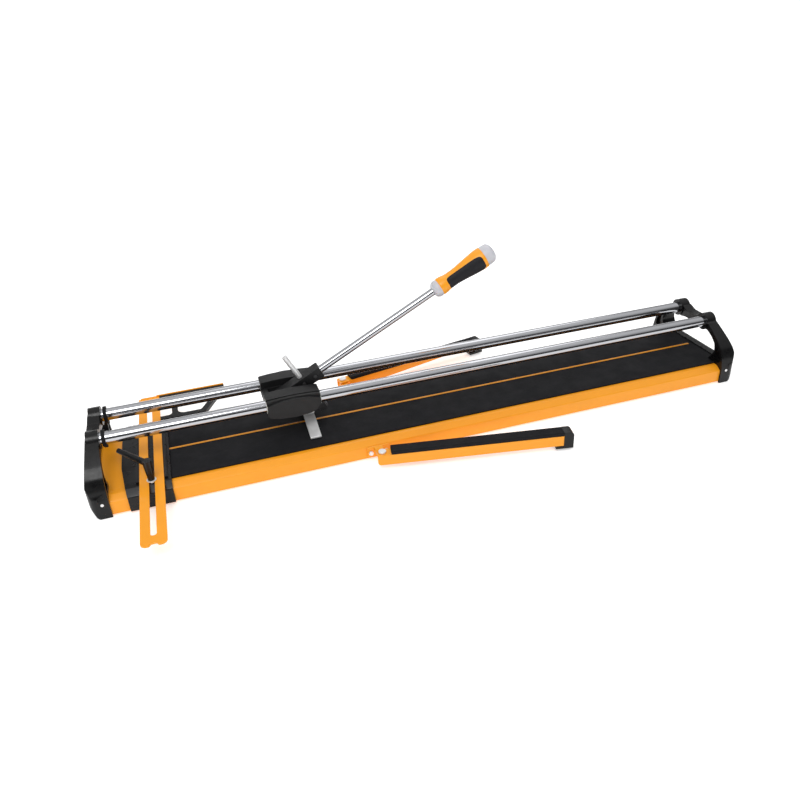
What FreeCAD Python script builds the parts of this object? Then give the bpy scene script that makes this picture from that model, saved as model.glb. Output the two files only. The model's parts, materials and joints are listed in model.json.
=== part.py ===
"""Manual tile cutter: base, twin rails, sliding scoring carriage, fence and two side arms.

Millimetres.  X runs along the cutter, Z is up, and the origin is the middle of the base's underside.
"""

import FreeCAD, Part
import Sketcher
import operator
import os

doc = FreeCAD.newDocument("TileCutter")
sheet = doc.addObject("Spreadsheet::Sheet", "Dims")

# ---------------------------------------------------------------- driving dimensions

SIZES = [
    # base
    ("base_half", 113.2, "half width of the base"),
    ("base_end", 609, "half length of the base body"),
    ("foot_top", 3, "thickness of the rubber foot strips"),
    ("side_top", 27.5, "top of the upright side faces"),
    ("bed_edge", 101, "where the side's bevel meets the bed"),
    ("bed_top", 35, "top of the bed"),
    ("metal", 3, "wall of the sheet and extrusions"),
    ("spine_half", 12, "half width of the centre spine"),
    ("flange_in", 96, "inner edge of the sides' lower flange"),
    ("rib_pitch", 470, "distance of the outer ribs from the middle"),
    ("strip_width", 24, "width of a foot strip along the cutter"),
    ("strip_half", 106, "half length of a foot strip"),
    ("pad_half", 93.5, "outer edge of the rubber pads"),
    ("pad_thick", 3, "thickness of the rubber pads"),
    ("tongue_half", 73, "outer edge of the pads under the arches"),
    ("break_half", 2.4, "half width of the breaking strip"),
    ("strip_end", 599, "right end of the breaking strip"),
    # rails and end brackets
    ("rail_radius", 11, "radius of a rail"),
    ("rail_across", 41.1, "distance of a rail from the middle"),
    ("rail_height", 108, "height of the rails' centre lines"),
    ("rail_end", 606, "half length of a rail"),
    ("arch_in", 592, "inner face of an end bracket"),
    ("arch_out", 613, "outer face of a bracket at the rails"),
    ("bracket_end", 624, "outermost face of a bracket"),
    ("bracket_half", 117, "half width of a bracket's foot"),
    ("bracket_low", 0.5, "underside of a bracket"),
    ("end_wall_top", 40, "top of a bracket's end wall"),
    ("socket_radius", 17, "outside radius of a rail socket"),
    ("socket_out", 610, "outer face of a rail socket"),
    # fence base, ruler and gauge
    ("saddle_right", 490, "right edge of the fence base, left of the middle"),
    ("saddle_left", 563, "left edge of the fence base at its ends"),
    ("saddle_bulge", 8, "how far the left edge bows out"),
    ("saddle_top", 41.5, "top of the fence base"),
    ("ruler_across", 521, "centre line of the ruler, left of the middle"),
    ("ruler_half", 20, "half width of the ruler"),
    ("ruler_low", 42, "underside of the ruler"),
    ("ruler_front", 271, "front end of the ruler"),
    ("ruler_back", 196, "rear end of the ruler"),
    ("slot_half", 4.7, "half width of the ruler's slot"),
    ("slot_front", 248, "front end of the slot"),
    ("slot_back", 150, "rear end of the slot"),
    ("lock_front", 100, "distance of the lock stud in front of the middle"),
    ("lock_radius", 3.9, "radius of the lock stud"),
    ("gauge_low", 38.6, "underside of the gauge frame"),
    ("gauge_top", 46, "top of the gauge frame"),
    # carriage
    ("car_left", 312, "left end of the carriage, left of the middle"),
    ("car_right", 215, "right end of the carriage, left of the middle"),
    ("housing_in", 20, "inner face of a housing"),
    ("housing_out", 58, "outer face of a housing's main block"),
    ("bush_outer", 13, "radius of a housing's bore"),
    ("bush_long", 14, "length of a bush"),
    ("fit", 0.06, "radial running clearance"),
    ("pivot_across", 286, "lever pivot, left of the middle"),
    ("pivot_height", 97, "height of the lever pivot"),
    ("pin_radius", 5, "radius of the lever pin"),
    # lever, along its own axis from the pivot
    ("lever_tilt", 27.2, "lever axis above the horizontal, degrees"),
    ("sleeve_half", 12.5, "half width of the lever's sleeve"),
    ("sleeve_rise", 10.5, "half height of the lever's sleeve"),
    ("sleeve_end", 94, "end of the sleeve"),
    ("rod_radius", 7, "radius of the lever rod"),
    ("rod_start", 62, "start of the lever rod"),
    ("grip_start", 343, "start of the grip"),
    ("post_place", 56, "where the wheel post crosses the lever"),
    ("post_radius", 4.75, "radius of the wheel post"),
    ("post_top", 61, "top of the wheel post above the lever axis"),
    ("fork_top", 39, "top of the wheel fork below the lever axis"),
    ("fork_low", 71, "foot of the wheel fork below the lever axis"),
    ("wheel_drop", 65, "wheel centre below the lever axis"),
    ("wheel_radius", 11, "radius of the scoring wheel"),
    # breaker foot
    ("wing_left", 245, "left edge of the breaker foot, left of the middle"),
    ("wing_right", 225, "right edge of the breaker foot, left of the middle"),
    ("wing_reach", 70, "half span of the breaker foot"),
    ("wing_low", 39, "underside of the foot at its tips"),
    ("wing_apex", 57, "underside of the foot in the middle"),
    ("wing_thick", 4.5, "thickness of the foot"),
    # side arms, along their own axis from the pivot
    ("arm_across", 134, "arm pivots, left of the middle"),
    ("arm_out", 145, "distance of the arm pivots from the middle"),
    ("arm_splay", 11, "how far the arms stand away from the base, degrees"),
    ("arm_long", 340, "length of an arm"),
    ("arm_half", 11, "half width of an arm"),
    ("arm_wall", 2.5, "wall of an arm"),
    ("arm_low", 11, "underside of an arm"),
    ("arm_deck", 31, "top of the arm's channel"),
    ("arm_top", 38, "top of the arm's rubber"),
    ("lug_half", 8, "half width of an arm lug"),
    ("lug_low", 20, "underside of an arm lug"),
    ("lug_top", 27, "top of an arm lug"),
]


class Size:
    """A length together with the sheet expression that gives it."""

    def __init__(self, value, text=None):
        self.value = float(value)
        self.text = text or f"({float(value)!r})"

    def joined(self, other, sign, work, swap=False):
        """This size and another one, worked out and written as one expression."""
        pair = (self, size(other))
        left, right = pair[::-1] if swap else pair
        return Size(work(left.value, right.value), f"({left.text} {sign} {right.text})")

    def __add__(self, other):
        return self.joined(other, "+", operator.add)

    def __radd__(self, other):
        return self.joined(other, "+", operator.add, swap=True)

    def __sub__(self, other):
        return self.joined(other, "-", operator.sub)

    def __rsub__(self, other):
        return self.joined(other, "-", operator.sub, swap=True)

    def __mul__(self, other):
        return self.joined(other, "*", operator.mul)

    def __rmul__(self, other):
        return self.joined(other, "*", operator.mul, swap=True)

    def __neg__(self):
        return size(-1) * self


def size(number):
    """A plain number as a Size, and a Size as itself."""
    return number if isinstance(number, Size) else Size(number)


class Cells:
    """The sheet's named cells as attributes."""

    def __getattr__(self, name):
        return Size(sheet.get(name), f"Dims.{name}")


for row, (alias, value, note) in enumerate(SIZES, start=1):
    sheet.set(f"A{row}", note)
    sheet.set(f"B{row}", str(value))
    sheet.setAlias(f"B{row}", alias)
doc.recompute()
d = Cells()

# ---------------------------------------------------------------- building blocks

PLANE_ROLES = {"XY": "XY_Plane", "XZ": "XZ_Plane", "YZ": "YZ_Plane"}
TURNS = {
    "X": FreeCAD.Rotation(FreeCAD.Vector(0, 1, 0), 90),
    "Y": FreeCAD.Rotation(FreeCAD.Vector(1, 0, 0), -90),
    "Z": FreeCAD.Rotation(),
}
SUB_PARTS = []


def bind(thing, **lengths):
    """Bind properties to the sheet."""
    for name, length in lengths.items():
        thing.setExpression(name, size(length).text)


def place(thing, x=0, y=0, z=0):
    """Bind a feature's place to the sheet."""
    for name, length in zip("xyz", (x, y, z)):
        thing.setExpression(f"Placement.Base.{name}", size(length).text)


def block(x, y, z):
    """A block between two limits along each axis."""
    shape = doc.addObject("Part::Box", "Block")
    bind(shape, Length=x[1] - size(x[0]), Width=y[1] - size(y[0]), Height=z[1] - size(z[0]))
    place(shape, x[0], y[0], z[0])
    return shape


def rod(axis, start, length, radius, top_radius=None):
    """A round bar or cone that starts at a point and runs along an axis."""
    if top_radius is None:
        shape = doc.addObject("Part::Cylinder", "Rod")
        bind(shape, Radius=radius)
    else:
        shape = doc.addObject("Part::Cone", "Cone")
        bind(shape, Radius1=radius, Radius2=top_radius)
    bind(shape, Height=length)
    shape.Placement = FreeCAD.Placement(FreeCAD.Vector(), TURNS[axis])
    place(shape, *start)
    return shape


def joined(*shapes):
    """Shapes fused into one, or kept as separate solids where they don't touch."""
    whole = doc.addObject("Part::MultiFuse", "Joined")
    whole.Shapes = list(shapes)
    return whole


def cut(shape, *tools):
    """A shape with tools taken out of it."""
    result = doc.addObject("Part::Cut", "Cut")
    result.Base = shape
    result.Tool = tools[0] if len(tools) == 1 else joined(*tools)
    return result


def shared(first, second):
    """What two shapes have in common."""
    result = doc.addObject("Part::MultiCommon", "Shared")
    result.Shapes = [first, second]
    return result


def corner_sketch(body, plane, corners):
    """A closed outline on one of the body's own planes, with every corner bound to the sheet."""
    sketch = body.newObject("Sketcher::SketchObject", "Outline")
    own = [f for f in body.Origin.OriginFeatures if f.Role == PLANE_ROLES[plane]]
    sketch.AttachmentSupport = [(own[0], "")]
    sketch.MapMode = "FlatFace"
    points = [FreeCAD.Vector(size(c[0]).value, size(c[1]).value, 0) for c in corners]
    for here, there in zip(points, points[1:] + points[:1]):
        sketch.addGeometry(Part.LineSegment(here, there), False)
    for n, corner in enumerate(corners):
        before = (n - 1) % len(corners)
        sketch.addConstraint(Sketcher.Constraint("Coincident", before, 2, n, 1))
        for kind, other_axis, length in (("DistanceX", -2, corner[0]), ("DistanceY", -1, corner[1])):
            length = size(length)
            if abs(length.value) < 1e-9:
                sketch.addConstraint(Sketcher.Constraint("PointOnObject", n, 1, other_axis))
                continue
            made = sketch.addConstraint(Sketcher.Constraint(kind, -1, 1, n, 1, length.value))
            sketch.setExpression(f"Constraints[{made}]", length.text)
    return sketch


def local_point(plane, across, up, along):
    """A point on an extrusion, in its body's own axes."""
    order = {"XY": (across, up, along), "XZ": (across, along, up), "YZ": (along, across, up)}
    return FreeCAD.Vector(*order[plane])


def prism(plane, corners, low, high):
    """An outline extruded between two limits; a corner's third number is its rounding radius."""
    body = doc.addObject("PartDesign::Body", "Prism")
    sketch = corner_sketch(body, plane, corners)
    pad = body.newObject("PartDesign::Pad", "Pad")
    pad.Profile = sketch
    pad.Reversed = plane == "XZ"
    depth = size(high) - low
    bind(pad, Length=depth)
    place(body, **{{"XY": "z", "XZ": "y", "YZ": "x"}[plane]: low})
    doc.recompute()
    radii = {}
    for corner in corners:
        if len(corner) == 3:
            radii.setdefault(size(corner[2]).text, []).append(corner)
    for group in radii.values():
        tip = body.Tip
        middles = [
            Part.Vertex(local_point(plane, size(c[0]).value, size(c[1]).value, depth.value / 2))
            for c in group
        ]
        names = [
            f"Edge{n}"
            for n, edge in enumerate(tip.Shape.Edges, start=1)
            if any(edge.distToShape(middle)[0] < 0.01 for middle in middles)
        ]
        rounding = body.newObject("PartDesign::Fillet", "Rounding")
        rounding.Base = (tip, names)
        bind(rounding, Radius=group[0][2])
        doc.recompute()
    return body


def mirrored_outline(half):
    """An outline from its right half, which runs from the bottom up."""
    return half + [(-size(c[0]), *c[1:]) for c in reversed(half)]


def turned(shape, angle, axis, x, y, z):
    """A shape built about its own origin, held in a compound that is turned and then placed."""
    holder = doc.addObject("Part::Compound", "Turned")
    holder.Links = [shape]
    rotation = FreeCAD.Rotation(FreeCAD.Vector(*axis), angle)
    holder.Placement = FreeCAD.Placement(FreeCAD.Vector(), rotation)
    place(holder, x, y, z)
    return holder


def sub_part(label, shape):
    """Name a finished piece; the name is also its file's."""
    shape.Label = label
    SUB_PARTS.append(shape)
    return shape


# ---------------------------------------------------------------- base


def side_extrusion(label, side):
    """Channel along one side: upright face, bevel, a strip of the bed and a lower flange."""
    outer, inner = d.base_half, d.base_half - d.metal
    corners = [
        (side * d.flange_in, d.foot_top),
        (side * outer, d.foot_top, 1),
        (side * outer, d.side_top, 2.5),
        (side * d.bed_edge, d.bed_top, 2.5),
        (side * (d.bed_edge - 13), d.bed_top),
        (side * (d.bed_edge - 13), d.bed_top - d.metal),
        (side * (d.bed_edge - 1.2), d.bed_top - d.metal),
        (side * inner, d.side_top - 2),
        (side * inner, d.foot_top + d.metal),
        (side * d.flange_in, d.foot_top + d.metal),
    ]
    sub_part(label, prism("YZ", corners, -d.base_end, d.base_end))


def bed():
    """Bed plate between the sides, on a hollow spine."""
    edge = d.bed_edge - 13
    along = (-d.base_end, d.base_end)
    under = d.bed_top - d.metal
    sub_part("bed_plate", block(along, (-edge, edge), (under, d.bed_top)))
    tube = block(along, (-d.spine_half, d.spine_half), (d.foot_top, under))
    inside = d.spine_half - d.metal
    hollow = block(along, (-inside, inside), (d.foot_top + d.metal, under - d.metal))
    sub_part("centre_spine", cut(tube, hollow))


def rib_and_foot(name, across):
    """Tee-shaped rib from the spine to each side, over a rubber strip that stands on the floor."""
    half = d.strip_width * 0.5
    pieces = []
    for side in (-1, 1):
        near, far = sorted((side * d.spine_half, side * d.flange_in), key=lambda s: s.value)
        flange = block(
            (across - half, across + half), (near, far), (d.foot_top, d.foot_top + d.metal)
        )
        web = block((across - 3, across + 3), (near, far), (d.foot_top, d.bed_top - d.metal))
        pieces += [flange, web]
    sub_part(f"foot_rib_{name}", joined(*pieces))
    strip = [
        (across - half, -d.strip_half, 4),
        (across + half, -d.strip_half, 4),
        (across + half, d.strip_half, 4),
        (across - half, d.strip_half, 4),
    ]
    sub_part(f"foot_strip_{name}", prism("XY", strip, 0, d.foot_top))


def pads():
    """Rubber pads on both sides of the raised breaking strip."""
    top = d.bed_top + d.pad_thick
    past_strip = [(d.strip_end, -d.break_half), (d.strip_end, d.break_half)]
    for label, side, step in (("pad_front", -1, past_strip), ("pad_rear", 1, [])):
        corners = [
            (-d.saddle_right, side * d.break_half),
            *step,
            (d.base_end, d.break_half),
            (d.base_end, side * d.tongue_half),
            (d.arch_in, side * d.tongue_half),
            (d.arch_in, side * d.pad_half),
            (-d.saddle_right, side * d.pad_half),
        ]
        sub_part(label, prism("XY", corners, d.bed_top, top))
    strip = [
        (-d.break_half, d.bed_top),
        (d.break_half, d.bed_top),
        (d.break_half, top + 0.4, 0.8),
        (-d.break_half, top + 0.4, 0.8),
    ]
    sub_part("break_strip", prism("YZ", strip, -d.saddle_right, d.strip_end))


# ---------------------------------------------------------------- rails and end brackets


def rails():
    """Two ground bars, with rubber bumpers beside the left bracket."""
    for label, side in (("rail_front", -1), ("rail_rear", 1)):
        start = (-d.rail_end, side * d.rail_across, d.rail_height)
        sub_part(label, rod("X", start, 2 * d.rail_end, d.rail_radius))
    rings = []
    for side in (-1, 1):
        start = (-d.arch_in + 6, side * d.rail_across, d.rail_height)
        ring = rod("X", start, 5, d.rail_radius + 4)
        knob = rod("X", (-d.arch_in + 6, side * d.rail_across + 4, d.rail_height - 16), 5, 4)
        bore = rod("X", start, 5, d.rail_radius + 0.1)
        rings.append(cut(joined(ring, knob), bore))
    sub_part("bumper_rings", joined(*rings))


def end_bracket(label, side):
    """Arched end casting: bowed legs, a socket for each rail, and a foot around the base's end."""

    def along(near, far):
        return sorted((side * near, side * far), key=lambda s: s.value)

    half = [
        (14, d.rail_height - 12, 8),
        (28, d.rail_height - 15, 8),
        (57, d.rail_height - 13, 10),
        (72, 87, 16),
        (84, 76, 12),
        (87.5, 62, 14),
        (82, 50, 14),
        (75, 41, 3),
        (75, d.bed_top),
        (d.bed_edge, d.bed_top),
        (d.base_half, d.side_top),
        (d.base_half, d.bracket_low),
        (d.bracket_half, d.bracket_low),
        (d.bracket_half, 33, 24),
        (112.5, 53, 40),
        (105, 71, 22),
        (91, 85, 40),
        (70, 100.5, 40),
        (50, 114, 10),
        (26, d.rail_height + 9, 8),
        (12, d.rail_height + 2, 10),
    ]
    arch = prism("YZ", half + [(-size(c[0]), *c[1:]) for c in reversed(half)],
                 *along(d.arch_in, d.bracket_end))
    wide, crest = d.bracket_half + 1, d.rail_height + 18
    wall = block(along(d.base_end, d.bracket_end), (-wide, wide), (d.bracket_low, d.end_wall_top))
    plan = [
        (side * d.arch_in, -d.bracket_half),
        (side * d.bracket_end, -d.bracket_half, 13),
        (side * d.bracket_end, d.bracket_half, 13),
        (side * d.arch_in, d.bracket_half),
    ]
    bowed_end = [
        (side * d.arch_in, d.bracket_low),
        (side * (d.bracket_end - 9), d.bracket_low, 8),
        (side * d.bracket_end, 26, 30),
        (side * d.bracket_end, 56, 40),
        (side * (d.arch_out - 3), crest),
        (side * d.arch_in, crest),
    ]
    casting = shared(
        shared(joined(arch, wall), prism("XY", plan, d.bracket_low, crest)),
        prism("XZ", bowed_end, -wide, wide),
    )
    pieces, bores, recesses = [casting], [], []
    recess = [
        (84, 43, 3),
        (107, 40, 4),
        (107.5, 53, 10),
        (100.5, 66, 8),
        (89.5, 77.5, 2),
        (92, 64, 8),
        (88, 52),
    ]
    for rail in (-1, 1):
        inner, outer = along(d.arch_in - 2, d.socket_out)
        start = (inner, rail * d.rail_across, d.rail_height)
        pieces.append(rod("X", start, outer - inner, d.socket_radius))
        inner, outer = along(d.arch_in - 3, d.rail_end)
        start = (inner, rail * d.rail_across, d.rail_height)
        bores.append(rod("X", start, outer - inner, d.rail_radius + 0.1))
        mirrored = [(rail * size(c[0]), *c[1:]) for c in recess]
        for face in (along(d.arch_in - 1, d.arch_in + 6), along(d.arch_out - 6, d.bracket_end + 1)):
            recesses.append(prism("YZ", mirrored, *face))
    sub_part(label, cut(joined(*pieces), *bores, *recesses))


def bracket_screws():
    """A pan-head screw in each side of both brackets' feet."""
    screws = []
    for side in (-1, 1):
        for end in (-1, 1):
            low = d.bracket_half if side > 0 else -d.bracket_half - 1.4
            screws.append(rod("Y", (end * (d.arch_in + 11), low, 28), 1.4, 2.8))
    sub_part("bracket_screws", joined(*screws))


# ---------------------------------------------------------------- fence base, fence and lock


def fence_base():
    """Moulded saddle around the base, with a guide rib on each side of the ruler."""
    left, reach, wide = -d.saddle_left, d.bracket_half, d.bracket_half + 1
    plan = [
        (-d.saddle_right, -wide, 3),
        (-d.saddle_right, wide, 3),
        (left, wide, 14),
        (left - d.saddle_bulge, 50, 120),
        (left - d.saddle_bulge, -40, 120),
        (left, -wide, 3),
    ]
    outer = [
        (reach, d.foot_top, 1),
        (reach, 31, 4),
        (d.bed_edge + 3, d.saddle_top, 4),
    ]
    inner = [
        (d.bed_edge, d.bed_top),
        (d.base_half, d.side_top),
        (d.base_half, d.foot_top),
    ]
    around = inner + outer
    section = around + [(-size(c[0]), *c[1:]) for c in reversed(around)]
    saddle = shared(
        prism("XY", plan, d.foot_top, d.saddle_top),
        prism("YZ", section, left - 20, -d.saddle_right),
    )
    near, far = d.ruler_across - d.ruler_half, d.ruler_across + d.ruler_half
    rib_top = d.saddle_top + 3
    ribs = [
        block((0.6 - near, 6 - near), (-97, 70), (d.saddle_top - 1, rib_top)),
        block((-far - 6, -far - 0.6), (-97, 70), (d.saddle_top - 1, rib_top)),
    ]
    sub_part("fence_base", joined(saddle, *ribs))
    start = (-d.ruler_across, -d.lock_front, d.saddle_top)
    sub_part("lock_stud", rod("Z", start, 16.5, d.lock_radius))


def ruler():
    """Slotted ruler: flat bar with a long slot and a shallow notch in its front end."""
    left, right = -d.ruler_across - d.ruler_half, -d.ruler_across + d.ruler_half
    middle, front = -d.ruler_across, -d.ruler_front
    plan = [
        (left, front, 9),
        (middle - 7, front, 3),
        (middle - 4, front + 5, 3),
        (middle + 4, front + 5, 3),
        (middle + 7, front, 3),
        (right, front, 9),
        (right, d.ruler_back),
        (left, d.ruler_back),
    ]
    top = d.ruler_low + d.metal
    bar = prism("XY", plan, d.ruler_low, top)
    slot_left, slot_right = middle - d.slot_half, middle + d.slot_half
    slot = [
        (slot_left, -d.slot_front, 4.5),
        (slot_right, -d.slot_front, 4.5),
        (slot_right, d.slot_back, 4.5),
        (slot_left, d.slot_back, 4.5),
    ]
    sub_part("ruler", cut(bar, prism("XY", slot, d.ruler_low - 1, top + 1)))
    return right


def fence():
    """Gauge frame beside the ruler, with an upright stop bar along their rear edges."""
    right = ruler()
    outline = [
        (right, 97),
        (-417, 97, 6),
        (-382, 166, 6),
        (-373, 180, 4),
        (-373, d.ruler_back),
        (right, d.ruler_back),
    ]
    hole_left = [
        (right - 1, 110),
        (-479, 110, 8),
        (-479, 181, 3),
        (right - 1, 181),
    ]
    hole_right = [
        (-468, 110, 14),
        (-424, 110, 4),
        (-393, 168, 5),
        (-401, 181, 5),
        (-468, 181, 5),
    ]
    frame = cut(
        prism("XY", outline, d.gauge_low, d.gauge_top),
        prism("XY", hole_left, d.gauge_low - 1, d.gauge_top + 1),
        prism("XY", hole_right, d.gauge_low - 1, d.gauge_top + 1),
        block((right - 1, -d.saddle_right + 1), (90, 210), (d.gauge_low - 1, d.ruler_low)),
    )
    sub_part("gauge_frame", frame)
    left = right - 2 * d.ruler_half
    bar = [
        (left + 4, d.ruler_low),
        (-373, d.ruler_low),
        (-373, 47.5, 0.8),
        (-506, 47.5, 0.8),
        (-507, 45.5, 0.5),
        (left + 4, 45.5, 0.5),
    ]
    behind = d.ruler_back + 3.5
    sub_part("fence_bar", prism("XZ", bar, d.ruler_back, behind))
    rivets = [rod("Y", (x, behind, 44.7), 1.6, 2.2) for x in (-490, -395)]
    sub_part("fence_rivets", joined(*rivets))


def lock():
    """Clamping lever on the stud: tapered hub, washer and a slim arm that rises to its tip."""
    washer_low = d.ruler_low + d.metal + 0.3
    at = (-d.ruler_across, -d.lock_front)
    bore = d.lock_radius + d.fit
    washer = cut(rod("Z", (*at, washer_low), 1.7, 8), rod("Z", (*at, washer_low - 1), 4, bore))
    sub_part("lock_washer", washer)
    low = washer_low + 1.7
    hub = rod("Z", (*at, low), 38, 5.6, 7.6)
    arm = rod("Z", (0, 0, 0), 62, 5.6, 4.2)
    arm.Placement = FreeCAD.Placement(
        FreeCAD.Vector(), FreeCAD.Rotation(FreeCAD.Vector(0, 0, 1), FreeCAD.Vector(-44, 42, 10))
    )
    place(arm, *at, low + 32)
    sub_part("lock_lever", cut(joined(hub, arm), rod("Z", (*at, low - 1), 12.6, bore)))


# ---------------------------------------------------------------- carriage


def housing(label, side):
    """Flat housing around one rail; its outer side steps down in three plates."""

    def plate(shoulder, crown, inset, near, far):
        """Side view with a bowed top between two shoulders, over a bulging underside."""
        left, right = -d.car_left + inset, -d.car_right - inset
        middle, low = (left + right) * 0.5, 84 + size(inset)
        bow = 0.25 * shoulder + 0.75 * crown
        bend = (40,) if crown - shoulder > 5 else ()  # flatter bends need no rounding
        view = [
            (left, 92, 5),
            (left, shoulder, 3),
            (left + 22, bow, *bend),
            (middle, crown, *bend),
            (right - 22, bow, *bend),
            (right, shoulder, 3),
            (right, 104, 8),
            (right - 8, 92, 12),
            (right - 22, low + 2, 20),
            (middle, low, 60),
            (left + 20, low + 2, 20),
        ]
        ends = sorted((side * size(near), side * size(far)), key=lambda s: s.value)
        return prism("XZ", view, *ends)

    steps = [
        plate(123, 125, 0, d.housing_in, 47),
        plate(121, 123.5, 0.5, 46, 53),
        plate(114.5, 121.5, 1, 52, d.housing_out),
    ]
    start = (-d.car_left - 1, side * d.rail_across, d.rail_height)
    bore = rod("X", start, d.car_left - d.car_right + 2, d.bush_outer + 0.05)
    sub_part(label, cut(joined(*steps), bore))


def carriage():
    """Two housings joined by a fork block that carries the lever pin."""
    housing("housing_front", -1)
    housing("housing_rear", 1)
    inner = d.housing_in
    cheek_in = d.sleeve_half + 4
    pin = (-d.pivot_across, -inner, d.pivot_height)
    back = [
        (-d.car_left + 1, 86, 3),
        (-d.car_left + 12, 86),
        (-d.car_left + 12, 112, 3),
        (-d.car_left + 1, 112, 6),
    ]
    cheek = [
        (-d.car_left + 11, 86),
        (-d.car_left + 34, 86, 8),
        (-d.car_left + 46, 98, 8),
        (-d.car_left + 40, 112, 6),
        (-d.car_left + 11, 112),
    ]
    block_piece = joined(
        prism("XZ", back, -inner, inner),
        prism("XZ", cheek, -inner, -cheek_in),
        prism("XZ", cheek, cheek_in, inner),
    )
    bore = rod("Y", pin, 2 * inner, d.pin_radius + 0.05)
    sub_part("carriage_bridge", cut(block_piece, bore))
    sub_part("lever_pin", rod("Y", pin, 2 * inner, d.pin_radius))
    bushes = []
    for side in (-1, 1):
        for low in (-d.car_left, -d.car_right - d.bush_long):
            start = (low, side * d.rail_across, d.rail_height)
            sleeve = rod("X", start, d.bush_long, d.bush_outer)
            bore = rod("X", start, d.bush_long, d.rail_radius + d.fit)
            bushes.append(cut(sleeve, bore))
    sub_part("slide_bushes", joined(*bushes))


# ---------------------------------------------------------------- lever, post and wheel


def on_lever(label, shape):
    """Place a piece that was built along the lever's own axis."""
    tilt = -d.lever_tilt.value
    sub_part(label, turned(shape, tilt, (0, 1, 0), -d.pivot_across, 0, d.pivot_height))


def lever():
    """Square sleeve on the pin, a plain rod and the grip's hard pieces."""
    half, rise = d.sleeve_half, d.sleeve_rise
    view = [
        (-12, -rise, 9.5),
        (d.sleeve_end, -rise, 2),
        (d.sleeve_end, rise, 2),
        (-12, rise, 9.5),
    ]
    sleeve = cut(
        prism("XZ", view, -half, half),
        rod("Y", (0, -half - 1, 0), 2 * half + 2, d.pin_radius + d.fit),
        rod("Z", (d.post_place, 0, -half - 1), 2 * half + 2, d.post_radius + d.fit),
        rod("X", (d.rod_start, 0, 0), d.sleeve_end, d.rod_radius + 0.05),
    )
    on_lever("lever_sleeve", sleeve)
    into_grip = 12
    shaft = rod("X", (d.rod_start, 0, 0), d.grip_start - d.rod_start + into_grip, d.rod_radius)
    on_lever("lever_rod", shaft)

    def bored(*pieces):
        hollow = rod("X", (d.grip_start - 1, 0, 0), into_grip + 1, d.rod_radius + 0.05)
        return cut(joined(*pieces) if len(pieces) > 1 else pieces[0], hollow)

    g = d.grip_start
    on_lever("grip_ferrule", bored(rod("X", (g, 0, 0), 14, 10, 15)))
    body = joined(
        rod("X", (g + 14, 0, 0), 12, 16.2),
        rod("X", (g + 26, 0, 0), 19, 16.2, 13.5),
        rod("X", (g + 45, 0, 0), 40, 13.5, 18.5),
        rod("X", (g + 85, 0, 0), 24, 18.5, 19.8),
    )
    on_lever("grip_body", body)
    cap = joined(rod("X", (g + 109, 0, 0), 14, 19), rod("X", (g + 123, 0, 0), 8.6, 19, 11))
    on_lever("grip_cap", cap)
    screws = joined(
        rod("Y", (d.post_place, -half - 2, 0), 2, 3.2),
        rod("Y", (d.sleeve_end - 14, -half - 2, 0), 2, 3.2),
    )
    on_lever("clamp_screws", screws)


def post_and_wheel():
    """Height post through the sleeve, with a fork and the scoring wheel at its foot."""
    at = d.post_place
    on_lever("wheel_post", rod("Z", (at, 0, -d.fork_top), d.post_top + d.fork_top, d.post_radius))
    axle = (at, -8, -d.wheel_drop)
    fork = cut(
        block((at - 7, at + 7), (-8, 8), (-d.fork_low, -d.fork_top)),
        block((at - 8, at + 8), (-2.6, 2.6), (-d.fork_low - 1, -d.wheel_drop + d.wheel_radius + 2)),
        rod("Y", (axle[0], -9, axle[2]), 18, 2.05),
    )
    on_lever("wheel_fork", fork)
    on_lever("wheel_axle", rod("Y", axle, 16, 2))
    low = d.wheel_radius - 1.6
    disc = joined(
        rod("Y", (at, -2, -d.wheel_drop), 2, low, d.wheel_radius),
        rod("Y", (at, 0, -d.wheel_drop), 2, d.wheel_radius, low),
    )
    bore = rod("Y", (at, -3, -d.wheel_drop), 6, 2 + d.fit)
    on_lever("scoring_wheel", cut(disc, bore))


def breaker_foot():
    """Flat-bar foot in an inverted vee, hung from the lever pin by two links."""
    x = (-d.wing_left, -d.wing_right)
    half = [(d.wing_reach, d.wing_low, 1.5), (d.wing_reach, d.wing_low + d.wing_thick, 1.5)]
    vee = [
        (0, d.wing_apex, 12),
        *half,
        (0, d.wing_apex + d.wing_thick, 16),
        *[(-size(c[0]), *c[1:]) for c in reversed(half)],
    ]
    sub_part("breaker_foot", prism("YZ", vee, *x))
    near = d.sleeve_half + 0.5
    link = [
        (-d.pivot_across - 9, d.pivot_height + 8, 8),
        (-d.pivot_across + 9, d.pivot_height + 8, 8),
        (-d.wing_right, 74, 4),
        (-d.wing_right, d.wing_apex + d.wing_thick),
        (-d.wing_left, d.wing_apex + d.wing_thick),
        (-d.pivot_across - 9, d.pivot_height - 10, 8),
    ]
    hub = (-d.pivot_across, -30, d.pivot_height)
    bore = rod("Y", hub, 60, d.pin_radius + d.fit)
    pieces = [prism("XZ", link, -near - 3, -near), prism("XZ", link, near, near + 3)]
    sub_part("foot_links", cut(joined(*pieces), bore))


# ---------------------------------------------------------------- side arms


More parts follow.
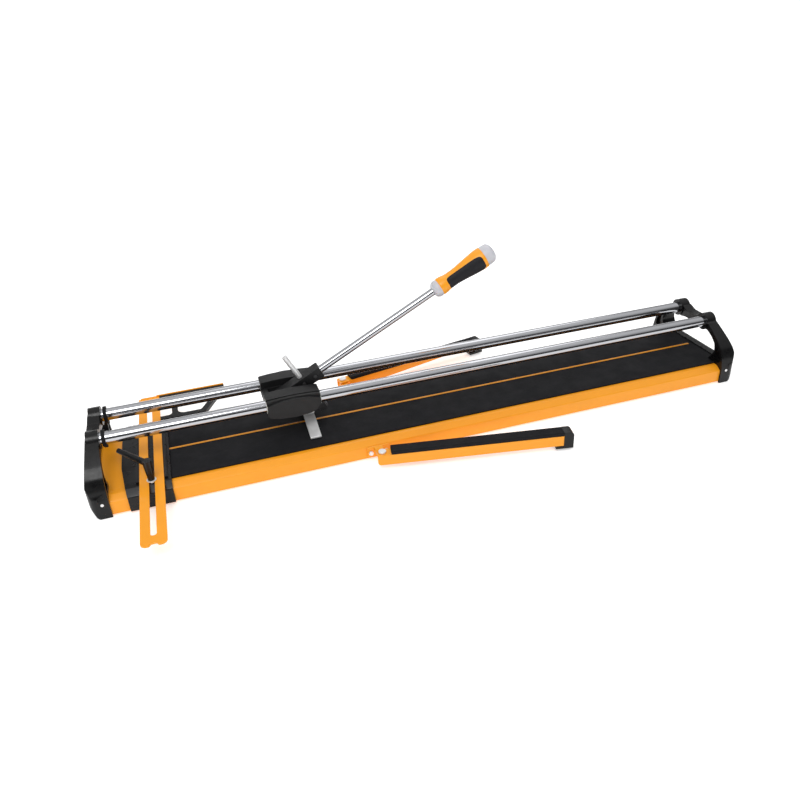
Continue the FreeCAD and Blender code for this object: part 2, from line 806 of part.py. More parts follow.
def side_arm(name, side):
    """Folding support: pressed channel with a rubber top and an end cap, on a bolted lug."""

    def on_arm(label, shape):
        splay = side * d.arm_splay.value
        sub_part(label, turned(shape, splay, (0, 0, 1), -d.arm_across, side * d.arm_out, 0))

    def across(near, far):
        """Limits across the arm, measured away from the base."""
        return sorted((side * size(near), side * size(far)), key=lambda s: s.value)

    half, wall = d.arm_half, d.arm_wall
    end = d.arm_long - 16
    deck = block((-9, end), (-half, half), (d.arm_deck - wall, d.arm_deck))
    outer_view = [(-9, d.arm_low, 6), (end, d.arm_low), (end, d.arm_deck), (-9, d.arm_deck)]
    outer = prism("XZ", outer_view, *across(half - wall, half))
    inner_view = [
        (12, d.arm_deck),
        (12, d.arm_deck - 8, 2),
        (60, d.arm_low + 1, 20),
        (end, d.arm_deck - 5),
        (end, d.arm_deck),
    ]
    inner = prism("XZ", inner_view, *across(-half, wall - half))
    hole = rod("Z", (0, 0, d.arm_low), 30, 4 + d.fit)
    on_arm(f"arm_channel_{name}", cut(joined(deck, outer, inner), hole))
    rubber = [
        (15, -half, 2),
        (end, -half),
        (end, half),
        (15, half, 2),
    ]
    on_arm(f"arm_rubber_{name}", prism("XY", rubber, d.arm_deck, d.arm_top))
    cap_view = [
        (end, d.arm_low - 1),
        (d.arm_long + 2, d.arm_low - 1, 3),
        (d.arm_long + 2, d.arm_top, 7),
        (end, d.arm_top),
    ]
    lip = block((end - 14, end + 1), (-half, half), (d.arm_low - 6, d.arm_low - 1))
    tail = block((end, d.arm_long + 2), (-half, half), (d.arm_low - 6, d.arm_low))
    on_arm(f"arm_cap_{name}", joined(prism("XZ", cap_view, -half, half), lip, tail))

    pivot = (-d.arm_across, side * d.arm_out)
    near, far = across(d.base_half, d.arm_out)
    tongue = block((pivot[0] - d.lug_half, pivot[0] + d.lug_half), (near, far), (d.lug_low, d.lug_top))
    root_in, root_out = across(d.base_half, d.base_half + 4)
    root = block((pivot[0] - 20, pivot[0] + 20), (root_in, root_out), (d.lug_low - 13, d.lug_top))
    lug = cut(
        joined(tongue, rod("Z", (*pivot, d.lug_low), d.lug_top - d.lug_low, d.lug_half), root),
        rod("Z", (*pivot, d.lug_low - 1), 12, 4.05),
    )
    sub_part(f"arm_lug_{name}", lug)
    spacer = d.arm_deck - wall - 0.3 - d.lug_top
    bolt = joined(
        rod("Z", (*pivot, d.lug_low - 3), d.arm_deck + 1 - d.lug_low + 3, 4),
        rod("Z", (*pivot, d.lug_top), spacer, 7),
        rod("Z", (*pivot, d.arm_deck + 0.3), 3.4, 6.8),
        rod("Z", (*pivot, d.lug_low - 4), 4, 6.5),
    )
    sub_part(f"arm_bolt_{name}", bolt)


def lug_screws():
    """Hex screws that hold the arm lugs to the base's sides."""
    screws = []
    for side in (-1, 1):
        low = side * (d.base_half + 4) if side > 0 else side * (d.base_half + 4) - 4
        for x in (-14, 14):
            screws.append(rod("Y", (-d.arm_across + x, low, 16), 4, 4.2))
    sub_part("lug_screws", joined(*screws))


# ---------------------------------------------------------------- the whole cutter

side_extrusion("side_extrusion_front", -1)
side_extrusion("side_extrusion_rear", 1)
bed()
for place_name, distance in (("left", -d.rib_pitch), ("centre", size(0)), ("right", d.rib_pitch)):
    rib_and_foot(place_name, distance)
pads()
rails()
end_bracket("end_bracket_left", -1)
end_bracket("end_bracket_right", 1)
bracket_screws()
fence_base()
fence()
lock()
carriage()
lever()
post_and_wheel()
breaker_foot()
side_arm("front", -1)
side_arm("rear", 1)
lug_screws()
doc.recompute()

failed = [
    f"{thing.Name} {thing.getStatusString()} for {[user.Label for user in thing.InListRecursive]}"
    for thing in doc.Objects
    if {"Invalid", "Error"} & set(thing.State)
]
if failed:
    raise RuntimeError("\n".join(failed))
for piece in SUB_PARTS:
    if piece.Shape.isNull() or not piece.Shape.isValid() or piece.Shape.Volume <= 0:
        raise RuntimeError(f"{piece.Label} has no valid shape")

os.makedirs("parts", exist_ok=True)
for piece in SUB_PARTS:
    piece.Shape.exportStep(f"parts/{piece.Label}.step")
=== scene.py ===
"""Manual tile cutter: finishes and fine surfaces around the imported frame."""

import json
import math

import bmesh
import bpy
import numpy as np
from mathutils import Matrix, Vector


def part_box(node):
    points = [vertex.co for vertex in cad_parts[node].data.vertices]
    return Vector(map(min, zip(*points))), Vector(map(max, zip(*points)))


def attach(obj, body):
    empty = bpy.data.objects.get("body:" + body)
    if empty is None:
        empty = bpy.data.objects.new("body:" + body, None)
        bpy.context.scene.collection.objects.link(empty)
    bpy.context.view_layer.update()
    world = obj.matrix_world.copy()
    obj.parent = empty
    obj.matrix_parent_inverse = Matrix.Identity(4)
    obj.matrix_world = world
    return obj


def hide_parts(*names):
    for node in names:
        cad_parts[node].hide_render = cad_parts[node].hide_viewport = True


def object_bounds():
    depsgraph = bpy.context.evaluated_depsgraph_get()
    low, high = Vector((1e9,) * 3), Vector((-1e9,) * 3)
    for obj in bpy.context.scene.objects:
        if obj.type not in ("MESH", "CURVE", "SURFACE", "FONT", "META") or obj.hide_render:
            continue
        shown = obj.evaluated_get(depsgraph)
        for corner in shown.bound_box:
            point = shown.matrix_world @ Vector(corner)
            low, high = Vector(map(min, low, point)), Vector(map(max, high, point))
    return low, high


bl_info = {
    "name": "Manual tile cutter",
    "version": (1, 0, 0),
    "blender": (4, 5, 0),
    "location": "3D View > Sidebar > Tile cutter",
    "description": "Dresses a manual tile cutter's frame with its surfaces, finishes and stage",
    "category": "Object",
}

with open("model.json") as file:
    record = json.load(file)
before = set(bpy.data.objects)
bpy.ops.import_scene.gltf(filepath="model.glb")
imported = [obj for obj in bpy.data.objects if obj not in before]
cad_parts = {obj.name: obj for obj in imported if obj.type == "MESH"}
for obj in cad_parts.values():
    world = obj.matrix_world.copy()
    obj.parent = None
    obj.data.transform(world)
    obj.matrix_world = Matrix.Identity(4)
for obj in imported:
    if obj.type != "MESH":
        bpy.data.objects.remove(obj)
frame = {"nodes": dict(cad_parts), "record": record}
CAD_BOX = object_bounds()
MM = 0.001


# ---------------------------------------------------------------- sizes and colours


class CutterSizes(bpy.types.PropertyGroup):
    """Sizes of the pieces that are shaped here."""

    edge: bpy.props.FloatProperty(
        name="Edge", description="Rounding of pressed and moulded edges", default=0.0008, unit="LENGTH"
    )
    inlay_proud: bpy.props.FloatProperty(
        name="Inlay", description="How far the grip's soft panels stand proud", default=0.0006, unit="LENGTH"
    )
    inlay_turn: bpy.props.FloatProperty(
        name="Inlay turn", description="Angle from the grip's top to a soft panel's middle",
        default=math.radians(90), subtype="ANGLE",
    )
    inlay_spread: bpy.props.FloatProperty(
        name="Inlay spread", description="Half the angle that a soft panel covers",
        default=math.radians(54), subtype="ANGLE",
    )


class CutterColours(bpy.types.PropertyGroup):
    """Colours of the finishes, as sRGB hex."""

    orange: bpy.props.StringProperty(name="Orange", description="Powder coat", default="F8A11C")
    orange_grip: bpy.props.StringProperty(name="Grip", description="Grip's hard shell", default="F9A31A")
    rubber: bpy.props.StringProperty(name="Rubber", description="Pads and arm tops", default="17171A")
    nylon: bpy.props.StringProperty(name="Nylon", description="End brackets and fence", default="0C0C0D")
    housing: bpy.props.StringProperty(name="Housing", description="Carriage housings", default="19191A")
    inlay: bpy.props.StringProperty(name="Inlay", description="Grip's soft panels", default="1C1C20")
    grip_grey: bpy.props.StringProperty(name="Grip ends", description="Ferrule and cap", default="C6C6CC")
    floor: bpy.props.StringProperty(name="Floor", description="Studio floor", default="F4F4F4")


class CutterStage(bpy.types.PropertyGroup):
    """Camera and light."""

    camera_place: bpy.props.FloatVectorProperty(
        name="Camera", description="Where the camera stands", default=(-0.39175, -1.16558, 0.74006),
        subtype="TRANSLATION",
    )
    camera_turn: bpy.props.FloatProperty(
        name="Azimuth", description="Camera's turn about the vertical", default=math.radians(-16.1332),
        subtype="ANGLE",
    )
    camera_fall: bpy.props.FloatProperty(
        name="Elevation", description="How far the camera looks down", default=math.radians(29.9146),
        subtype="ANGLE",
    )
    camera_roll: bpy.props.FloatProperty(
        name="Roll", description="Camera's roll", default=math.radians(-3.2396), subtype="ANGLE"
    )
    lens: bpy.props.FloatProperty(
        name="Lens", description="Focal length on a 36 mm sensor", default=32.511, unit="CAMERA"
    )
    sky: bpy.props.FloatProperty(name="Sky", description="Strength of the soft light", default=0.8)
    floor_glow: bpy.props.FloatProperty(
        name="Floor glow", description="Light that the floor gives off by itself", default=0.5
    )


def sizes():
    return bpy.context.scene.cutter_sizes


def colours():
    return bpy.context.scene.cutter_colours


def stage_settings():
    return bpy.context.scene.cutter_stage


# ---------------------------------------------------------------- material helpers


def linear(hex_text):
    """An sRGB hex colour as linear RGBA."""
    srgb = [int(hex_text[i : i + 2], 16) / 255 for i in (0, 2, 4)]
    return [c / 12.92 if c <= 0.04045 else ((c + 0.055) / 1.055) ** 2.4 for c in srgb] + [1.0]


def per_metre(millimetres):
    """A pattern's scale on coordinates in metres, from its real size."""
    return 1000.0 / millimetres


def node(tree, kind, feeds=None, **settings):
    """Add a node, set its properties, and set or link its inputs."""
    made = tree.nodes.new(kind)
    for name, value in settings.items():
        setattr(made, name, value)
    for name, value in (feeds or {}).items():
        if isinstance(value, bpy.types.NodeSocket):
            tree.links.new(value, made.inputs[name])
        else:
            made.inputs[name].default_value = value
    return made


def ramp(tree, factor, *stops):
    """A colour ramp from (position, RGBA) stops."""
    made = node(tree, "ShaderNodeValToRGB", {"Fac": factor})
    elements = made.color_ramp.elements
    while len(elements) < len(stops):
        elements.new(0.5)
    for element, (position, colour) in zip(elements, stops):
        element.position = position
        element.color = colour
    return made.outputs["Color"]


def grey(value):
    return (value, value, value, 1.0)


def shaded(colour, factor):
    """A linear colour made lighter or darker."""
    return [min(1.0, c * factor) for c in colour[:3]] + [1.0]


def start_material(name, **sockets):
    """A material with a Principled shader, and object coordinates for its patterns."""
    material = bpy.data.materials.new(name)
    material.use_nodes = True
    tree = material.node_tree
    tree.nodes.clear()
    shader = node(tree, "ShaderNodeBsdfPrincipled", sockets)
    node(tree, "ShaderNodeOutputMaterial", {"Surface": shader.outputs["BSDF"]})
    coordinates = node(tree, "ShaderNodeTexCoord").outputs["Object"]
    return material, tree, shader, coordinates


def noise(tree, coordinates, millimetres, detail=3.0, roughness=0.55):
    return node(
        tree,
        "ShaderNodeTexNoise",
        {
            "Vector": coordinates,
            "Scale": per_metre(millimetres),
            "Detail": detail,
            "Roughness": roughness,
        },
    ).outputs["Fac"]


def bump(tree, shader, height, depth_mm, strength=1.0):
    """Relief of a real depth on the shader."""
    made = node(
        tree,
        "ShaderNodeBump",
        {"Height": height, "Distance": depth_mm * MM, "Strength": strength},
    )
    tree.links.new(made.outputs["Normal"], shader.inputs["Normal"])


def mottled(tree, shader, coordinates, colour, size_mm, spread):
    """A colour that drifts a little over the surface."""
    drift = noise(tree, coordinates, size_mm)
    mix = ramp(tree, drift, (0.3, shaded(colour, 1 - spread)), (0.7, shaded(colour, 1 + spread)))
    tree.links.new(mix, shader.inputs["Base Color"])


def worn_roughness(tree, shader, coordinates, low, high, size_mm):
    """Roughness that drifts between two values, as handled surfaces do."""
    drift = noise(tree, coordinates, size_mm, detail=5)
    value = node(
        tree,
        "ShaderNodeMapRange",
        {"Value": drift, "From Min": 0.3, "From Max": 0.7, "To Min": low, "To Max": high},
    )
    tree.links.new(value.outputs["Result"], shader.inputs["Roughness"])


# ---------------------------------------------------------------- materials


def powder_coated_steel(name, hex_text, gloss=0.33):
    """Orange polyester powder coat on metal: warm, semi-gloss, with a faint orange peel."""
    material, tree, shader, at = start_material(name, IOR=1.5)
    shader.inputs["Specular IOR Level"].default_value = 0.35
    shader.inputs["Coat Weight"].default_value = 0.12
    shader.inputs["Coat Roughness"].default_value = 0.12
    mottled(tree, shader, at, linear(hex_text), 60, 0.035)
    worn_roughness(tree, shader, at, gloss - 0.05, gloss + 0.07, 25)
    # Orange peel is 1 to 3 mm across; it is drawn deeper than the real few microns so that it shows.
    bump(tree, shader, noise(tree, at, 2.2, detail=1), 0.05, 0.35)
    return material


def cellular_rubber(name, hex_text):
    """EVA rubber pad: matte charcoal with a fine skin grain that catches a grey sheen."""
    material, tree, shader, at = start_material(name, IOR=1.5)
    shader.inputs["Specular IOR Level"].default_value = 0.14
    shader.inputs["Sheen Weight"].default_value = 0.012
    shader.inputs["Sheen Roughness"].default_value = 0.5
    mottled(tree, shader, at, linear(hex_text), 4, 0.16)
    worn_roughness(tree, shader, at, 0.62, 0.8, 30)
    # The skin's grain is about 0.3 mm; it is drawn at 1.1 mm so that it shows.
    bump(tree, shader, noise(tree, at, 1.1, detail=4), 0.12, 0.6)
    return material


def moulded_nylon(name, hex_text, low, high):
    """Glass-filled nylon moulding: near black, satin, with a fine spark-eroded texture."""
    material, tree, shader, at = start_material(name, IOR=1.53)
    shader.inputs["Specular IOR Level"].default_value = 0.26
    mottled(tree, shader, at, linear(hex_text), 18, 0.12)
    worn_roughness(tree, shader, at, low, high, 12)
    # Spark erosion leaves pits of about 0.2 mm; they are drawn at 0.9 mm so that they show.
    bump(tree, shader, noise(tree, at, 0.9, detail=3), 0.05, 0.4)
    return material


def hard_chrome(name):
    """Ground and chromed bar: bright mirror with faint rings left by centreless grinding."""
    material, tree, shader, at = start_material(name, Metallic=1.0)
    mottled(tree, shader, at, linear("B4B5B9"), 40, 0.03)
    stretch = node(tree, "ShaderNodeMapping", {"Vector": at, "Scale": (1.0, 0.04, 0.04)})
    rings = noise(tree, stretch.outputs["Vector"], 1.5, detail=2)
    value = node(
        tree,
        "ShaderNodeMapRange",
        {"Value": rings, "From Min": 0.3, "From Max": 0.7, "To Min": 0.07, "To Max": 0.15},
    )
    tree.links.new(value.outputs["Result"], shader.inputs["Roughness"])
    return material


def zinc_plated_steel(name, hex_text="EAEAEA", low=0.32, high=0.46):
    """Bright zinc plate on steel: pale grey, its crystals scattering light under a soft gloss."""
    material, tree, shader, at = start_material(name, Metallic=0.45)
    mottled(tree, shader, at, linear(hex_text), 9, 0.06)
    worn_roughness(tree, shader, at, low, high, 6)
    bump(tree, shader, noise(tree, at, 1.6, detail=3), 0.02, 0.3)
    return material


def thermoplastic_elastomer(name, hex_text):
    """Soft grip rubber: dark grey, matte, with a pebbled skin."""
    material, tree, shader, at = start_material(name, IOR=1.5)
    shader.inputs["Specular IOR Level"].default_value = 0.22
    shader.inputs["Sheen Weight"].default_value = 0.03
    mottled(tree, shader, at, linear(hex_text), 5, 0.14)
    worn_roughness(tree, shader, at, 0.5, 0.66, 8)
    pebbles = node(
        tree, "ShaderNodeTexVoronoi", {"Vector": at, "Scale": per_metre(1.6)}, feature="SMOOTH_F1"
    )
    bump(tree, shader, pebbles.outputs["Distance"], 0.15, 0.5)
    return material


def injection_moulded_shell(name, hex_text, gloss=0.36):
    """Polypropylene shell: even colour, satin gloss, light scattering just under the skin."""
    material, tree, shader, at = start_material(name, IOR=1.49)
    shader.inputs["Subsurface Weight"].default_value = 0.06
    shader.inputs["Subsurface Scale"].default_value = 0.002
    mottled(tree, shader, at, linear(hex_text), 14, 0.03)
    worn_roughness(tree, shader, at, gloss - 0.06, gloss + 0.06, 9)
    bump(tree, shader, noise(tree, at, 1.2, detail=2), 0.03, 0.3)
    return material


# The ribs' satin black paint has the same fine grain as the nylon, so it is made the same way.
SLOT_MATERIALS = {
    "orange_paint": lambda c: powder_coated_steel("powder_coated_steel", c.orange),
    "ribs_black": lambda c: moulded_nylon("black_painted_steel", "1A1A1A", 0.35, 0.5),
    "black_rubber": lambda c: cellular_rubber("cellular_rubber", c.rubber),
    "black_plastic": lambda c: moulded_nylon("moulded_nylon_black", c.nylon, 0.24, 0.38),
    "housing_grey": lambda c: moulded_nylon("moulded_nylon_charcoal", c.housing, 0.42, 0.56),
    "chrome_rails": lambda c: hard_chrome("hard_chrome"),
    "steel": lambda c: zinc_plated_steel("zinc_plated_steel"),
    "carbide": lambda c: zinc_plated_steel("ground_carbide", "8B8B8F", 0.2, 0.3),
    "fork_black": lambda c: zinc_plated_steel("black_oxide_steel", "3C3C3D", 0.35, 0.5),
    "bush_plastic": lambda c: injection_moulded_shell("acetal_bush", "D8D6CE", 0.4),
    "grip_orange": lambda c: injection_moulded_shell("polypropylene_orange", c.orange_grip),
    "grip_grey": lambda c: injection_moulded_shell("polypropylene_grey", c.grip_grey, 0.32),
}


class CUTTER_OT_finishes(bpy.types.Operator):
    """Give every frame node the finish of its material slot"""

    bl_idname = "cutter.finishes"
    bl_label = "Finishes"

    def execute(self, context):
        made = {}
        for part in frame["record"]["subparts"]:
            slot = part["material_slot"]
            if slot not in made:
                made[slot] = SLOT_MATERIALS[slot](colours())
            mesh_object = frame["nodes"][part["node"]]
            mesh_object.data.materials.clear()
            mesh_object.data.materials.append(made[slot])
        return {"FINISHED"}


def finish_of(slot):
    """The material that a record slot was given."""
    names = [p["node"] for p in frame["record"]["subparts"] if p["material_slot"] == slot]
    return frame["nodes"][names[0]].data.materials[0]


# ---------------------------------------------------------------- softened frame nodes

# Nodes whose edges show, with how much each one's edges are rounded, as a share of `edge`.
SOFT_EDGES = {
    "side_extrusion_front": 0.6,
    "side_extrusion_rear": 0.6,
    "pad_front": 1.0,
    "pad_rear": 1.0,
    "end_bracket_left": 1.8,
    "end_bracket_right": 1.8,
    "fence_base": 1.2,
    "ruler": 0.8,
    "gauge_frame": 1.5,
    "fence_bar": 0.9,
    "housing_front": 1.8,
    "housing_rear": 1.8,
    "carriage_bridge": 1.4,
    "lever_sleeve": 1.6,
    "lock_lever": 1.0,
    "lock_washer": 0.5,
    "breaker_foot": 0.8,
    "foot_links": 0.6,
    "wheel_post": 0.8,
    "wheel_fork": 1.0,
    "bumper_rings": 1.2,
    "arm_channel_front": 0.7,
    "arm_channel_rear": 0.7,
    "arm_rubber_front": 1.2,
    "arm_rubber_rear": 1.2,
    "arm_cap_front": 1.6,
    "arm_cap_rear": 1.6,
    "arm_lug_front": 0.8,
    "arm_lug_rear": 0.8,
    "arm_bolt_front": 1.0,
    "arm_bolt_rear": 1.0,
    "bracket_screws": 1.0,
    "lug_screws": 1.0,
    "clamp_screws": 1.0,
    "fence_rivets": 0.8,
}


FLAT_WITHIN = math.radians(0.6)
SHARP_FROM = math.radians(32)


def body_of_node(name):
    """The moving body that a frame node belongs to."""
    for body, names in frame["record"]["behaviour"]["bodies"].items():
        if name in names:
            return body
    raise ValueError(f"{name} is on no body")


def stands_for(piece, name):
    """Let a piece replace a frame node on the same body, and hide the node."""
    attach(piece, body_of_node(name))
    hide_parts(name)


def softened(name, width):
    """Replace a frame node by a merged copy, with flat faces made whole and sharp edges rounded."""
    mesh = frame["nodes"][name].data.copy()
    mesh.name = f"{name}_soft"
    merged = bmesh.new()
    merged.from_mesh(mesh)
    bmesh.ops.remove_doubles(merged, verts=merged.verts, dist=2e-6)
    bmesh.ops.dissolve_limit(
        merged, angle_limit=FLAT_WITHIN, verts=merged.verts, edges=merged.edges
    )
    merged.to_mesh(mesh)
    merged.free()
    mesh.polygons.foreach_set("use_smooth", np.ones(len(mesh.polygons), dtype=bool))
    mesh.set_sharp_from_angle(angle=SHARP_FROM)
    piece = bpy.data.objects.new(f"{name}_soft", mesh)
    bpy.context.scene.collection.objects.link(piece)
    rounding = piece.modifiers.new("Edges", "BEVEL")
    rounding.width = width
    rounding.segments = 2
    rounding.limit_method = "ANGLE"
    rounding.angle_limit = SHARP_FROM
    rounding.use_clamp_overlap = True
    rounding.harden_normals = True
    rounding.miter_outer = "MITER_ARC"
    stands_for(piece, name)


class CUTTER_OT_soft_edges(bpy.types.Operator):
    """Round the sharp edges of pressed, moulded and turned pieces"""

    bl_idname = "cutter.soft_edges"
    bl_label = "Soft edges"

    def execute(self, context):
        for name, share in SOFT_EDGES.items():
            softened(name, sizes().edge * share)
        return {"FINISHED"}


# ---------------------------------------------------------------- turned bars and grip


def grid_faces(rows, columns, closed_columns):
    """Quads of a grid of points, row by row; closed columns join the last column to the first."""
    across = np.arange(columns if closed_columns else columns - 1)
    row = np.arange(rows - 1)[:, None] * columns
    here, beside = row + across, row + (across + 1) % columns
    quads = np.stack([here, beside, beside + columns, here + columns], axis=-1)
    return quads.reshape(-1, 4)


def surface(name, points, faces, material):
    """A smooth mesh object from points and faces."""
    mesh = bpy.data.meshes.new(name)
    mesh.from_pydata(points.reshape(-1, 3).tolist(), [], [list(f) for f in faces])
    mesh.materials.append(material)
    mesh.polygons.foreach_set("use_smooth", np.ones(len(mesh.polygons), dtype=bool))
    tidy = bmesh.new()
    tidy.from_mesh(mesh)
    bmesh.ops.remove_doubles(tidy, verts=tidy.verts, dist=1e-6)
    bmesh.ops.recalc_face_normals(tidy, faces=tidy.faces)
    tidy.to_mesh(mesh)
    tidy.free()
    mesh.set_sharp_from_angle(angle=math.radians(38))
    piece = bpy.data.objects.new(name, mesh)
    bpy.context.scene.collection.objects.link(piece)
    return piece


def joint_named(name):
    return next(j for j in frame["record"]["behaviour"]["joints"] if j["name"] == name)


def lever_frame():
    """The lever pin, and unit vectors along the lever, upwards across it and sideways.

    The lever's axis runs from the pin to the middle of the grip cap."""
    pivot = np.array(joint_named("lever_lift")["pos_m"])
    low, high = (np.array(corner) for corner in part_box("grip_cap"))
    along = (low + high) / 2 - pivot
    along /= np.linalg.norm(along)
    side = np.array((0.0, -1.0, 0.0))
    return pivot, along, np.cross(side, along), side


def grip_start():
    """Distance from the lever pin to the near face of the grip, along the lever."""
    pivot, along, *_ = lever_frame()
    points = np.array([v.co for v in frame["nodes"]["grip_ferrule"].data.vertices])
    return float(((points - pivot) @ along).min())


def rail_frame(name):
    """The middle of a rail's left end, and unit vectors along it, upwards and sideways."""
    low, high = (np.array(corner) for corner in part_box(name))
    start = np.array((low[0], (low[1] + high[1]) / 2, (low[2] + high[2]) / 2))
    return start, np.array((1.0, 0.0, 0.0)), np.array((0.0, 0.0, 1.0)), np.array((0.0, -1.0, 0.0))


def turned_surface(name, axis, profile, material, turns=96):
    """Surface of revolution about an axis: radius profile r(s), turned through a full circle.

    A point is start + s*along + r*(cos t*up + sin t*side)."""
    start, along, up, side = axis
    s, r = np.array(profile).T
    t = np.linspace(0, 2 * np.pi, turns, endpoint=False)
    ring = np.cos(t)[:, None] * up + np.sin(t)[:, None] * side
    points = start + s[:, None, None] * along + r[:, None, None] * ring[None]
    return surface(name, points, grid_faces(len(s), turns, True), material)


def smooth_curve(knots, count):
    """Points on a smooth curve through (s, r) knots, by monotone cubic pieces."""
    s, r = np.array(knots, dtype=float).T
    slope = np.diff(r) / np.diff(s)
    middle = np.where(slope[:-1] * slope[1:] > 0, 2 * slope[:-1] * slope[1:] / (slope[:-1] + slope[1:]), 0)
    tangent = np.concatenate([slope[:1], middle, slope[-1:]])
    at = np.linspace(s[0], s[-1], count)
    k = np.clip(np.searchsorted(s, at, side="right") - 1, 0, len(s) - 2)
    h = s[k + 1] - s[k]
    u = (at - s[k]) / h
    value = (
        (2 * u**3 - 3 * u**2 + 1) * r[k]
        + (u**3 - 2 * u**2 + u) * h * tangent[k]
        + (3 * u**2 - 2 * u**3) * r[k + 1]
        + (u**3 - u**2) * h * tangent[k + 1]
    )
    return np.stack([at, value], axis=1)


# Knots of the grip's profiles: distance from the grip's start and radius, in millimetres.
FERRULE_END, SHELL_END, DOME_START = 14, 110, 121
GRIP_FERRULE = ((0, 10), (2, 12.6), (6, 15.2), (10, 16.0), (FERRULE_END, 15.4))
GRIP_SHELL = ((FERRULE_END, 15.6), (17, 16.3), (24, 15.8), (34, 14.0), (44, 13.6), (60, 14.9), (85, 18.2),
              (104, 19.8), (SHELL_END, 19.6))
CAP_LIP = ((SHELL_END, 5), (SHELL_END, 18.4), (110.6, 19))
CAP_SIDE = ((110.7, 19), (116, 19), (DOME_START, 18.6))
DOME_RISE, DOME_RADIUS, DOME_FULLNESS = 10.6, 18.6, 0.72
PANEL_MIDDLE, PANEL_REACH = 67, 38


def shell_radius(s):
    """Radius of the grip's orange shell at a distance from the grip's start, in millimetres."""
    curve = smooth_curve(GRIP_SHELL, 400)
    return np.interp(s, curve[:, 0], curve[:, 1])


def shifted(profile):
    """A profile in millimetres from the grip's start, as metres from the lever pin."""
    profile = np.asarray(profile, dtype=float)
    return np.stack([profile[:, 0] * MM + grip_start(), profile[:, 1] * MM], axis=1)


def bar_profile(near, far, radius, bevel):
    """Profile of a plain round bar with bevelled ends, from one pole to the other."""
    return [
        (near, 0),
        (near, radius - bevel),
        (near + bevel, radius),
        (far - bevel, radius),
        (far, radius - bevel),
        (far, 0),
    ]


class CUTTER_OT_bars(bpy.types.Operator):
    """Turn the two rails and the lever's rod as smooth round bars"""

    bl_idname = "cutter.bars"
    bl_label = "Bars"

    def execute(self, context):
        bevel = sizes().edge
        for name in ("rail_front", "rail_rear"):
            low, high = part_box(name)
            profile = bar_profile(0, high.x - low.x, (high.z - low.z) / 2, bevel)
            bar = turned_surface(f"{name}_turned", rail_frame(name), profile, finish_of("chrome_rails"))
            stands_for(bar, name)
        pivot, along, _, side = lever_frame()
        points = np.array([v.co for v in frame["nodes"]["lever_rod"].data.vertices]) - pivot
        reach, across = points @ along, points @ side
        profile = bar_profile(reach.min(), reach.max(), across.max(), bevel)
        rod = turned_surface("lever_rod_turned", lever_frame(), profile, finish_of("chrome_rails"))
        stands_for(rod, "lever_rod")
        return {"FINISHED"}


class CUTTER_OT_grip(bpy.types.Operator):
    """Shape the grip: grey ferrule, waisted orange shell, two soft panels and a domed end cap"""

    bl_idname = "cutter.grip"
    bl_label = "Grip"

    def execute(self, context):
        axis = lever_frame()
        shell = smooth_curve(GRIP_SHELL, 60)
        shell = np.concatenate([[(FERRULE_END, 6.9)], shell, [(SHELL_END, 6)]])
        body = turned_surface("grip_shell", axis, shifted(shell), finish_of("grip_orange"))
        ferrule = smooth_curve(GRIP_FERRULE, 24)
        ferrule = np.concatenate([[(0, 7.1)], ferrule, [(FERRULE_END, 7.1)]])
        collar = turned_surface("grip_ferrule_soft", axis, shifted(ferrule), finish_of("grip_grey"))
        t = np.linspace(0, np.pi / 2, 14)
        end_s = DOME_START + DOME_RISE * np.sin(t)
        end_r = DOME_RADIUS * np.cos(t) ** DOME_FULLNESS + 0.01
        dome = np.concatenate([CAP_LIP, smooth_curve(CAP_SIDE, 8), np.stack([end_s, end_r], axis=1)])
        cap = turned_surface("grip_dome", axis, shifted(dome), finish_of("grip_grey"))
        for piece, name in ((body, "grip_body"), (collar, "grip_ferrule"), (cap, "grip_cap")):
            stands_for(piece, name)
        rubber = thermoplastic_elastomer("thermoplastic_elastomer", colours().inlay)
        for name, hand in (("grip_panel_near", 1), ("grip_panel_far", -1)):
            panel = self.panel(name, hand, rubber)
            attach(panel, "lever")
        return {"FINISHED"}

    def panel(self, name, hand, material):
        """Soft panel on the shell: angle t and distance s on a rounded rectangle, just proud of it.

        The panel's edges roll down into the shell over the outermost tenth of its width."""
        pivot, along, up, side = lever_frame()
        u, v = np.meshgrid(np.linspace(-1, 1, 49), np.linspace(-1, 1, 33), indexing="ij")
        corner = 1 - 0.10 * np.abs(v) ** 6
        s = PANEL_MIDDLE + PANEL_REACH * u * corner
        widening = 1 - 0.10 * u
        spread = sizes().inlay_spread * widening * (1 - 0.14 * np.abs(u) ** 6)
        t = hand * (sizes().inlay_turn + spread * v)
        edge = np.clip((1 - np.maximum(np.abs(u), np.abs(v))) / 0.10, 0, 1)
        rise = sizes().inlay_proud * (np.sqrt(1 - (1 - edge) ** 2) * 1.6 - 0.6)
        r = shell_radius(s) * MM + rise
        ring = np.cos(t)[..., None] * up + np.sin(t)[..., None] * side
        points = pivot + (s * MM + grip_start())[..., None] * along + r[..., None] * ring
        return surface(name, points, grid_faces(49, 33, False), material)


# ---------------------------------------------------------------- stage


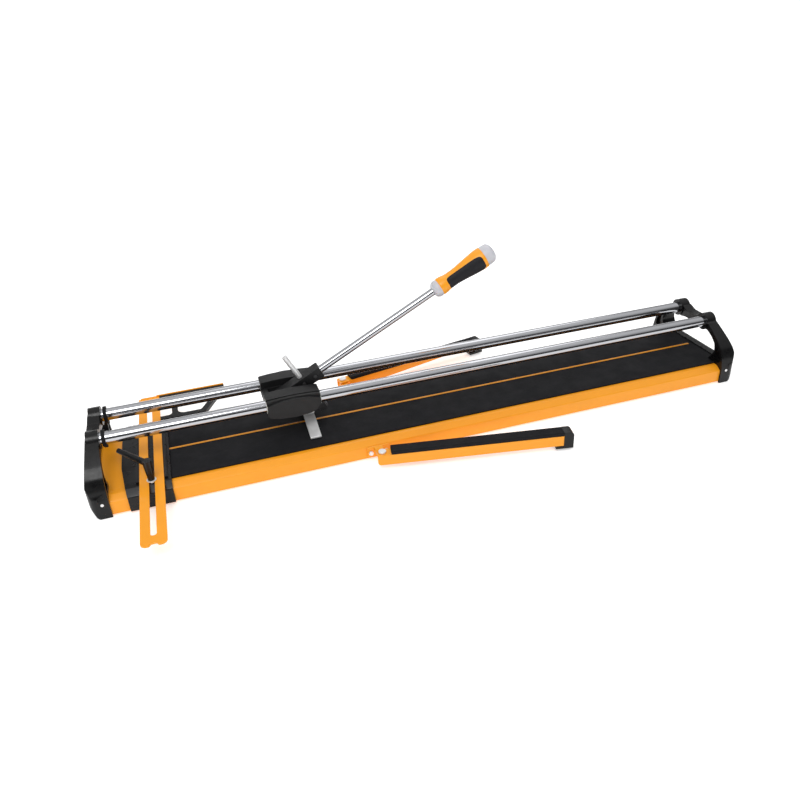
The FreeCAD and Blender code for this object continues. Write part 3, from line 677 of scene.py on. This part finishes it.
class CUTTER_OT_stage(bpy.types.Operator):
    """Pale floor, soft studio light and the camera"""

    bl_idname = "cutter.stage"
    bl_label = "Stage"

    def execute(self, context):
        self.floor()
        self.light()
        self.camera()
        context.scene.view_settings.view_transform = "Standard"
        return {"FINISHED"}

    def floor(self):
        """A wide plain floor just under the cutter's feet, swept up into a low far wall.

        The profile runs along y, turns up through a quarter circle and ends in a wall."""
        half, turn_at, bend, wall = 30.0, 5.0, 1.2, 2.2
        low = CAD_BOX[0].z - 0.0002
        t = np.linspace(0, np.pi / 2, 24)
        y = np.concatenate([[-half], turn_at + bend * np.sin(t), [turn_at + bend]])
        z = np.concatenate([[0], bend * (1 - np.cos(t)), [wall]]) + low
        points = np.stack([np.stack([np.full_like(y, x), y, z], axis=1) for x in (-half, half)], axis=1)
        material, tree, shader, at = start_material("studio_floor_paint", Roughness=0.9)
        shader.inputs["Specular IOR Level"].default_value = 0.1
        shader.inputs["Emission Color"].default_value = linear(colours().floor)
        shader.inputs["Emission Strength"].default_value = stage_settings().floor_glow
        mottled(tree, shader, at, linear(colours().floor), 500, 0.005)
        surface("studio_floor", points, grid_faces(len(y), 2, False), material)

    def light(self):
        """Sky bright overhead and darker at the horizon, with two large soft panels."""
        world = bpy.data.worlds.new("studio_sky")
        world.use_nodes = True
        tree = world.node_tree
        tree.nodes.clear()
        direction = node(tree, "ShaderNodeTexCoord").outputs["Generated"]
        height = node(tree, "ShaderNodeSeparateXYZ", {"Vector": direction}).outputs["Z"]
        levels = ((0.0, 0.05), (0.35, 0.12), (0.6, 0.75), (0.85, 1.1))
        sky = ramp(tree, height, *[(position, grey(level)) for position, level in levels])
        background = node(tree, "ShaderNodeBackground", {"Color": sky, "Strength": stage_settings().sky})
        node(tree, "ShaderNodeOutputWorld", {"Surface": background.outputs["Background"]})
        bpy.context.scene.world = world
        for name, place, wide, watts in (
            ("key_panel", (-0.9, -1.6, 2.2), 1.1, 30),
            ("back_panel", (0.7, 1.5, 2.4), 2.0, 16),
        ):
            lamp = bpy.data.lights.new(name, "AREA")
            lamp.energy = watts
            lamp.size = wide
            holder = bpy.data.objects.new(name, lamp)
            holder.location = place
            holder.rotation_mode = "QUATERNION"
            holder.rotation_quaternion = (-Vector(place)).to_track_quat("-Z", "Y")
            bpy.context.scene.collection.objects.link(holder)

    def camera(self):
        """Camera from its turn, fall and roll."""
        stage = stage_settings()
        turn, fall, roll = stage.camera_turn, stage.camera_fall, stage.camera_roll
        right = Vector((math.cos(turn), math.sin(turn), 0))
        forward = Vector(
            (-math.sin(turn) * math.cos(fall), math.cos(turn) * math.cos(fall), -math.sin(fall))
        )
        up = right.cross(forward)
        across = math.cos(roll) * right + math.sin(roll) * up
        upright = -math.sin(roll) * right + math.cos(roll) * up
        data = bpy.data.cameras.new("camera")
        data.sensor_width = 36.0
        data.lens = stage.lens
        camera = bpy.data.objects.new("camera", data)
        facing = Matrix((across, upright, -forward)).transposed()
        camera.matrix_world = Matrix.Translation(stage.camera_place) @ facing.to_4x4()
        bpy.context.scene.collection.objects.link(camera)
        bpy.context.scene.camera = camera


class CUTTER_PT_panel(bpy.types.Panel):
    """The cutter's steps, in the order that they are run"""

    bl_label = "Tile cutter"
    bl_idname = "CUTTER_PT_panel"
    bl_space_type = "VIEW_3D"
    bl_region_type = "UI"
    bl_category = "Tile cutter"

    def draw(self, context):
        for step in STEPS:
            self.layout.operator(step.bl_idname)


STEPS = (CUTTER_OT_finishes, CUTTER_OT_soft_edges, CUTTER_OT_bars, CUTTER_OT_grip, CUTTER_OT_stage)
GROUPS = {
    "cutter_sizes": CutterSizes,
    "cutter_colours": CutterColours,
    "cutter_stage": CutterStage,
}


def register():
    for group in (*GROUPS.values(), *STEPS, CUTTER_PT_panel):
        bpy.utils.register_class(group)
    for name, group in GROUPS.items():
        setattr(bpy.types.Scene, name, bpy.props.PointerProperty(type=group))


def unregister():
    for name in GROUPS:
        delattr(bpy.types.Scene, name)
    for group in (CUTTER_PT_panel, *STEPS, *GROUPS.values()):
        bpy.utils.unregister_class(group)


def main():
    register()
    for step in STEPS:
        group, name = step.bl_idname.split(".")
        getattr(getattr(bpy.ops, group), name)()


if __name__ == "__main__":
    main()
